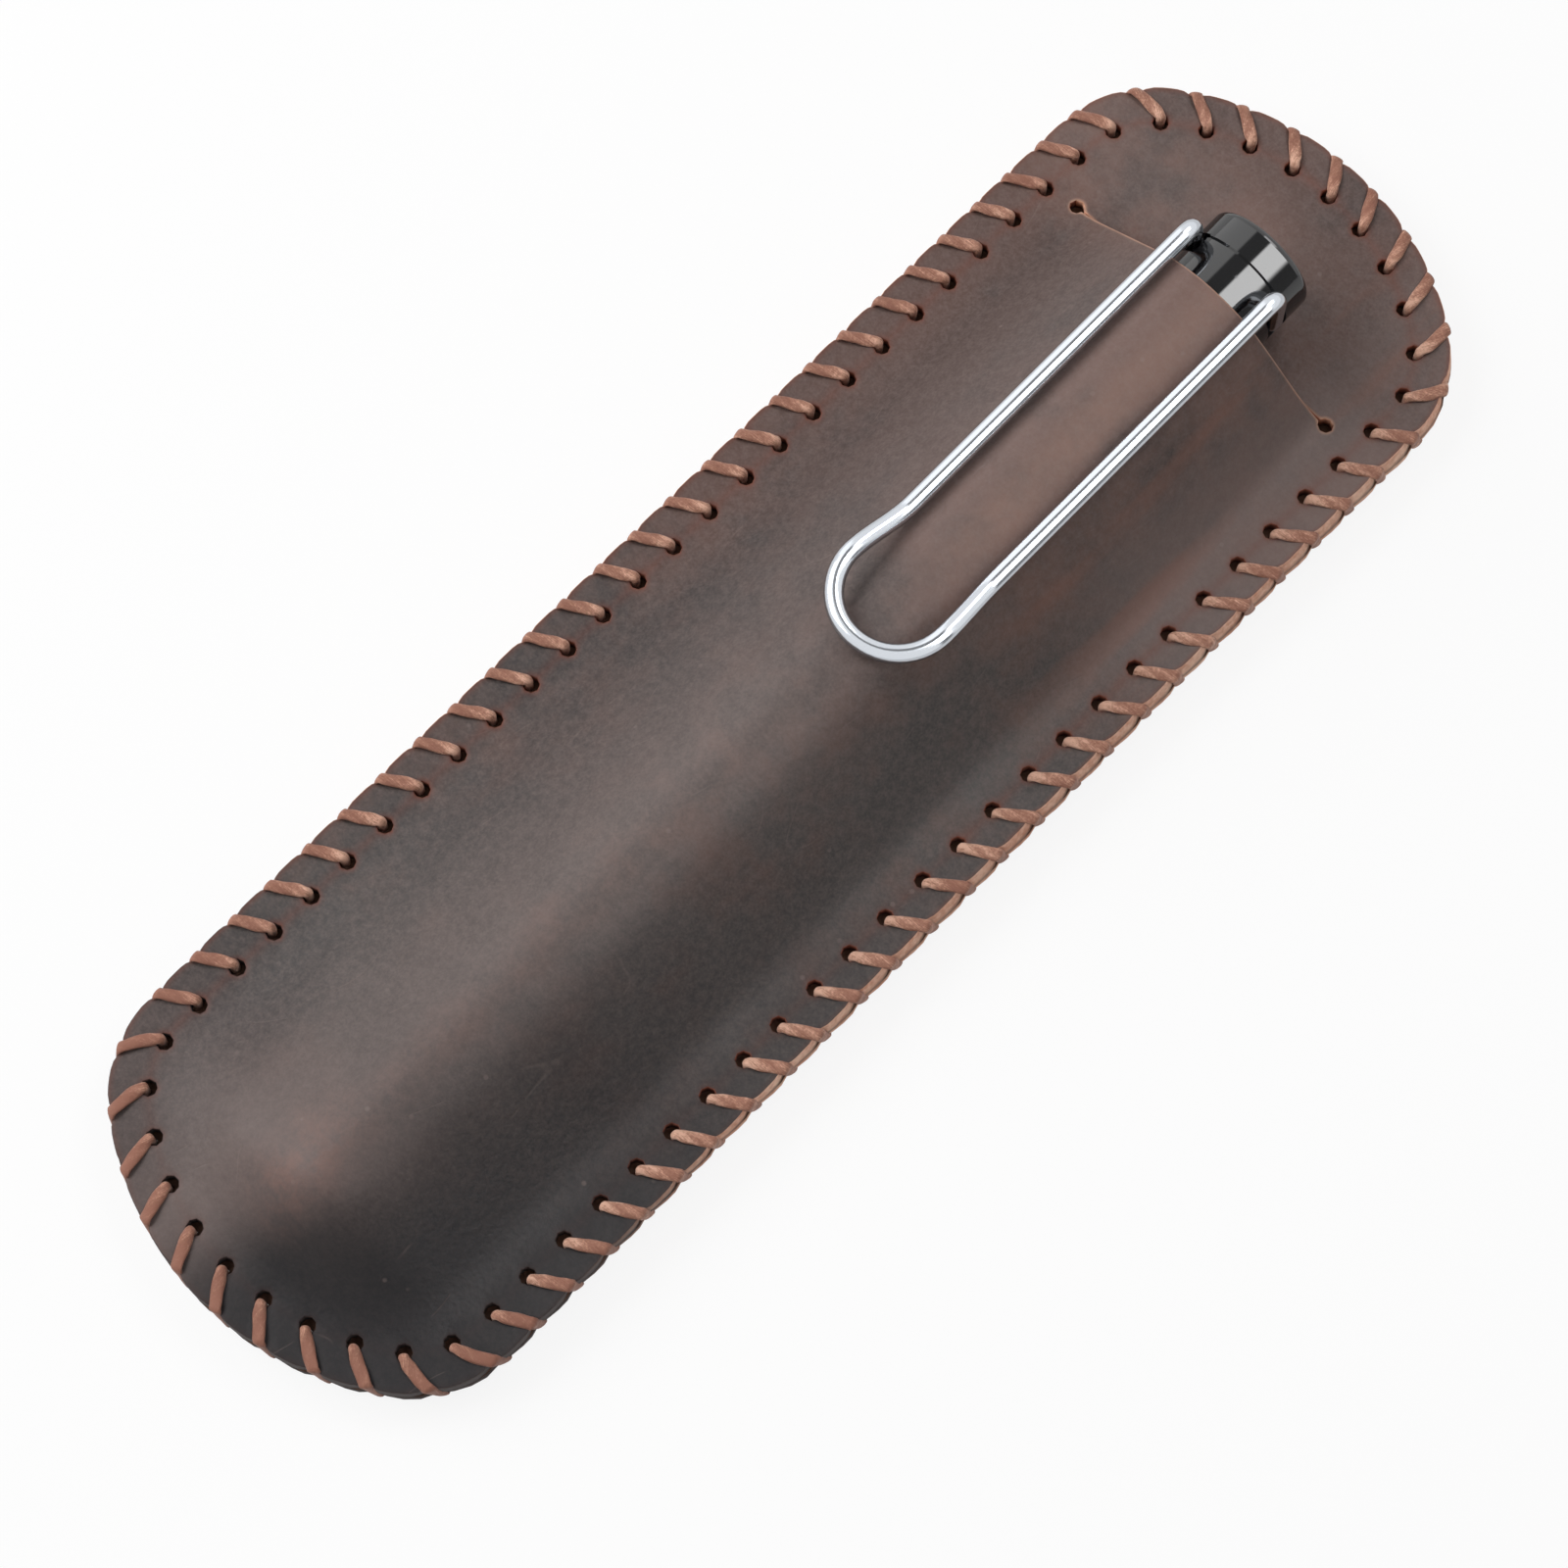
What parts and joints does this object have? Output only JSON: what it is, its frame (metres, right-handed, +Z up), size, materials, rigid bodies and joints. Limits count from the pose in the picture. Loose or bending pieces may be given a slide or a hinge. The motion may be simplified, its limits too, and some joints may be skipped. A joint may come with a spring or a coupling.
{
  "type": "single pen sleeve with pen",
  "caption": "Flat leather pen sleeve, two panels whip-stitched round the edge, with a slit mouth holding a capped pen by its wire clip.",
  "frame": {"origin": "centre of the sleeve's plan, on the surface its back panel lies on", "axes": "+Y along the sleeve towards the mouth end, +Z up out of the front panel, X across the sleeve"},
  "size_m": [0.0498, 0.1586, 0.0193],
  "materials": {
    "leather_back": "waxed",
    "leather_front": "waxed",
    "thread": "waxed",
    "cap_head": "gloss",
    "cap_tube": "gloss",
    "cap_liner": "matte",
    "clip_wire": "polished",
    "barrel": "gloss",
    "grip": "satin",
    "clutch_ring": "matte",
    "feed": "matte",
    "nib": "polished",
    "cartridge": "satin"
  },
  "bodies": {
    "sleeve": {"back_panel": "leather_back", "front_panel": "leather_front", "stitching": "thread"},
    "pen_body": {"barrel": "barrel", "grip_section": "grip", "clutch_ring": "clutch_ring", "feed": "feed", "nib": "nib", "cartridge": "cartridge"},
    "pen_cap": {"cap_head": "cap_head", "cap_tube": "cap_tube", "inner_cap": "cap_liner"},
    "pen_clip": {"clip": "clip_wire"}
  },
  "joints": [
    {"name": "pen_slide", "type": "slide", "parent": "sleeve", "child": "pen_body", "axis": [0, 0.9993, 0.0383], "range_m": [0, 0.15]},
    {"name": "cap_pull", "type": "slide", "parent": "pen_body", "child": "pen_cap", "axis": [0, 0.9993, 0.0383], "range_m": [0, 0.06]},
    {"name": "clip_flex", "type": "hinge", "parent": "pen_cap", "child": "pen_clip", "pos_m": [0.0016, 0.0581, 0.01108], "axis": [-1, 0, 0], "range_deg": [0, 6], "stiffness_Nm_per_rad": 0.2, "springref_deg": -11.46}
  ]
}
